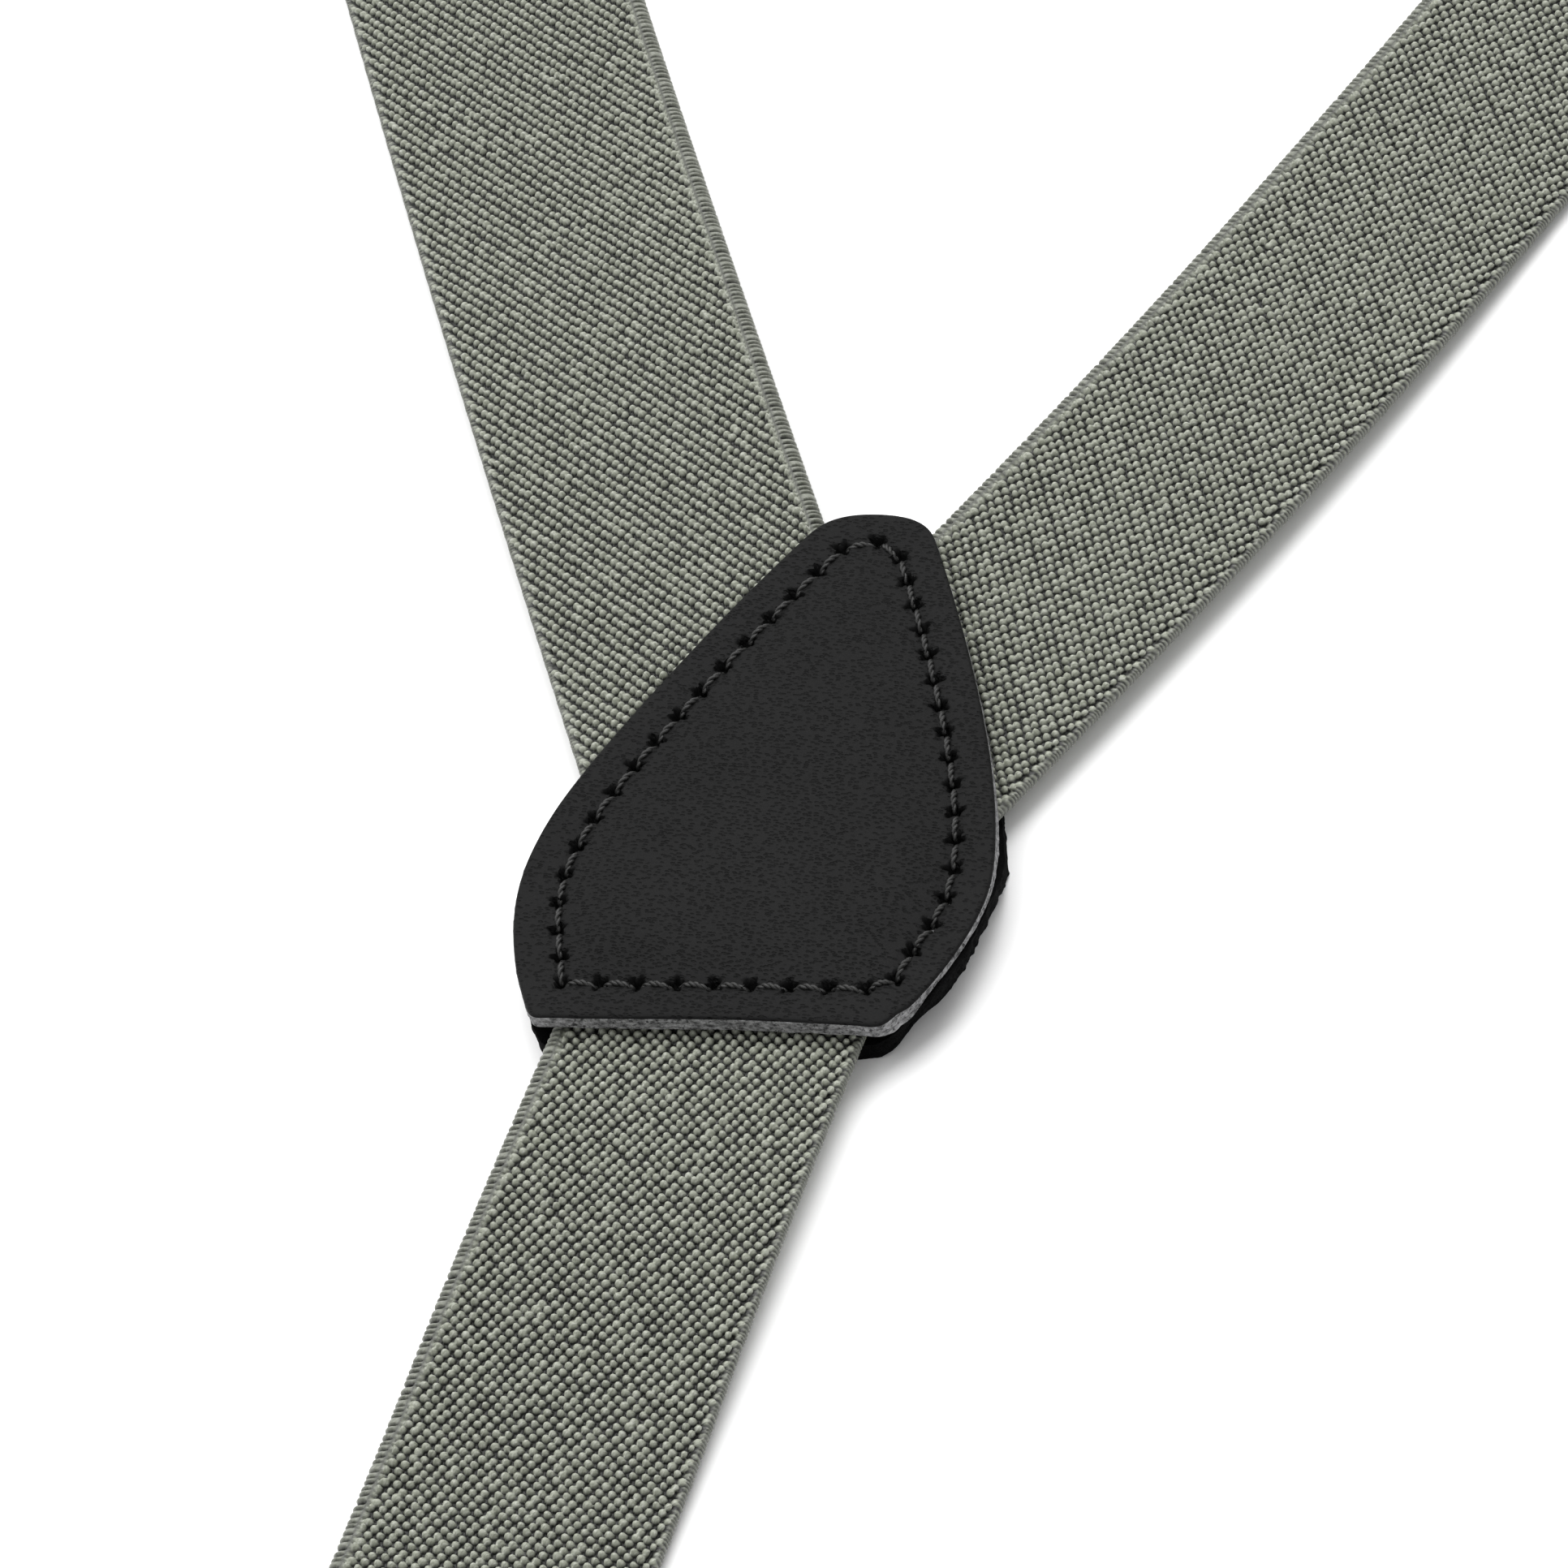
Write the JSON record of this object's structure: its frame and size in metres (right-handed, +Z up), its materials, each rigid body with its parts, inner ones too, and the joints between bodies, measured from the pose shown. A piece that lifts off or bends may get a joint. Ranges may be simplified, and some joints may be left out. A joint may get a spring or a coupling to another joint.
{
  "type": "suspenders",
  "caption": "Y-back elastic suspenders with a stitched leather back patch, two slide adjusters and lever clips on rings.",
  "frame": {"origin": "middle of the footprint, on the surface the suspenders lie on", "axes": "+Z up, out of the patch's outer side; +Y from the back clip towards the patch; +X to the right"},
  "size_m": [0.4528, 0.5338, 0.0252],
  "materials": {
    "leather": "satin black leather with a fine hair-cell grain and a raw grey cut edge",
    "backing": "matt deep black, fibrous",
    "thread": "heavy twisted black thread with a slight sheen",
    "webbing": "sage grey-green woven elastic webbing, soft sheen",
    "nickel_steel": "polished nickel-plated stamped steel",
    "grip_plastic": "matt black ribbed plastic"
  },
  "bodies": {
    "straps": {"patch_outer": "leather", "patch_backing": "backing", "patch_thread": "thread", "back_strap": "webbing", "bar_tack_back": "thread", "front_strap_left": "webbing", "front_strap_right": "webbing"},
    "adjuster_left": {"adjuster_frame_left": "nickel_steel", "tongue_pin_left": "nickel_steel", "bar_tack_left": "thread"},
    "tongue_left": {"tongue_left": "nickel_steel"},
    "loop_left": {"strap_loop_left": "webbing"},
    "adjuster_right": {"adjuster_frame_right": "nickel_steel", "tongue_pin_right": "nickel_steel", "bar_tack_right": "thread"},
    "tongue_right": {"tongue_right": "nickel_steel"},
    "loop_right": {"strap_loop_right": "webbing"},
    "ring_left": {"ring_left": "nickel_steel"},
    "clip_left": {"clip_body_left": "nickel_steel", "rear_pad_left": "grip_plastic", "jaw_pin_left": "nickel_steel", "lever_pin_left": "nickel_steel"},
    "jaw_left": {"front_jaw_left": "nickel_steel", "front_pad_left": "grip_plastic"},
    "lever_left": {"lever_left": "nickel_steel"},
    "ring_right": {"ring_right": "nickel_steel"},
    "clip_right": {"clip_body_right": "nickel_steel", "rear_pad_right": "grip_plastic", "jaw_pin_right": "nickel_steel", "lever_pin_right": "nickel_steel"},
    "jaw_right": {"front_jaw_right": "nickel_steel", "front_pad_right": "grip_plastic"},
    "lever_right": {"lever_right": "nickel_steel"},
    "ring_back": {"ring_back": "nickel_steel"},
    "clip_back": {"clip_body_back": "nickel_steel", "rear_pad_back": "grip_plastic", "jaw_pin_back": "nickel_steel", "lever_pin_back": "nickel_steel"},
    "jaw_back": {"front_jaw_back": "nickel_steel", "front_pad_back": "grip_plastic"},
    "lever_back": {"lever_back": "nickel_steel"}
  },
  "joints": [
    {"name": "adjuster_slide_left", "type": "slide", "parent": "straps", "child": "adjuster_left", "axis": [0, 1, 0], "range_m": [-0.02, 0.03], "deforming": ["strap_loop_left"]},
    {"name": "tongue_flip_left", "type": "hinge", "parent": "adjuster_left", "child": "tongue_left", "pos_m": [-0.21031, -0.11291, 0.0094], "axis": [-1, 0, 0], "range_deg": [0, 80]},
    {"name": "loop_follow_left", "type": "slide", "parent": "adjuster_left", "child": "loop_left", "axis": [0, 1, 0], "range_m": [-0.015, 0.01], "deforming": ["strap_loop_left"]},
    {"name": "adjuster_slide_right", "type": "slide", "parent": "straps", "child": "adjuster_right", "axis": [0, 1, 0], "range_m": [-0.02, 0.03], "deforming": ["strap_loop_right"]},
    {"name": "tongue_flip_right", "type": "hinge", "parent": "adjuster_right", "child": "tongue_right", "pos_m": [0.21031, -0.11237, 0.0094], "axis": [-1, 0, 0], "range_deg": [0, 80]},
    {"name": "loop_follow_right", "type": "slide", "parent": "adjuster_right", "child": "loop_right", "axis": [0, 1, 0], "range_m": [-0.015, 0.01], "deforming": ["strap_loop_right"]},
    {"name": "ring_swing_left", "type": "hinge", "parent": "loop_left", "child": "ring_left", "pos_m": [-0.21031, -0.1914, 0.0035], "axis": [-1, 0, 0], "range_deg": [-60, 60]},
    {"name": "clip_swing_left", "type": "hinge", "parent": "ring_left", "child": "clip_left", "pos_m": [-0.21031, -0.2004, 0.0035], "axis": [-1, 0, 0], "range_deg": [-60, 60]},
    {"name": "lever_open_left", "type": "hinge", "parent": "clip_left", "child": "lever_left", "pos_m": [-0.21031, -0.2274, 0.009], "axis": [1, 0, 0], "range_deg": [0, 95]},
    {"name": "jaw_open_left", "type": "hinge", "parent": "clip_left", "child": "jaw_left", "pos_m": [-0.21031, -0.2084, 0.0047], "axis": [-1, 0, 0], "range_deg": [0, 4.5]},
    {"name": "ring_swing_right", "type": "hinge", "parent": "loop_right", "child": "ring_right", "pos_m": [0.21031, -0.19087, 0.0035], "axis": [-1, 0, 0], "range_deg": [-60, 60]},
    {"name": "clip_swing_right", "type": "hinge", "parent": "ring_right", "child": "clip_right", "pos_m": [0.21031, -0.19986, 0.0035], "axis": [-1, 0, 0], "range_deg": [-60, 60]},
    {"name": "lever_open_right", "type": "hinge", "parent": "clip_right", "child": "lever_right", "pos_m": [0.21031, -0.22687, 0.009], "axis": [1, 0, 0], "range_deg": [0, 95]},
    {"name": "jaw_open_right", "type": "hinge", "parent": "clip_right", "child": "jaw_right", "pos_m": [0.21031, -0.20786, 0.0047], "axis": [-1, 0, 0], "range_deg": [0, 4.5]},
    {"name": "ring_swing_back", "type": "hinge", "parent": "straps", "child": "ring_back", "pos_m": [0.00968, -0.21688, 0.0035], "axis": [-1, 0, 0], "range_deg": [-60, 60]},
    {"name": "clip_swing_back", "type": "hinge", "parent": "ring_back", "child": "clip_back", "pos_m": [0.00968, -0.22588, 0.0035], "axis": [-1, 0, 0], "range_deg": [-60, 60]},
    {"name": "lever_open_back", "type": "hinge", "parent": "clip_back", "child": "lever_back", "pos_m": [0.00968, -0.25288, 0.009], "axis": [1, 0, 0], "range_deg": [0, 95]},
    {"name": "jaw_open_back", "type": "hinge", "parent": "clip_back", "child": "jaw_back", "pos_m": [0.00968, -0.23388, 0.0047], "axis": [-1, 0, 0], "range_deg": [0, 4.5]}
  ],
  "couplings": [
    {"joint": "loop_follow_left", "follows": "adjuster_slide_left", "ratio": -0.5},
    {"joint": "loop_follow_right", "follows": "adjuster_slide_right", "ratio": -0.5},
    {"joint": "jaw_open_left", "follows": "lever_open_left", "ratio": 0.04737},
    {"joint": "jaw_open_right", "follows": "lever_open_right", "ratio": 0.04737},
    {"joint": "jaw_open_back", "follows": "lever_open_back", "ratio": 0.04737}
  ]
}
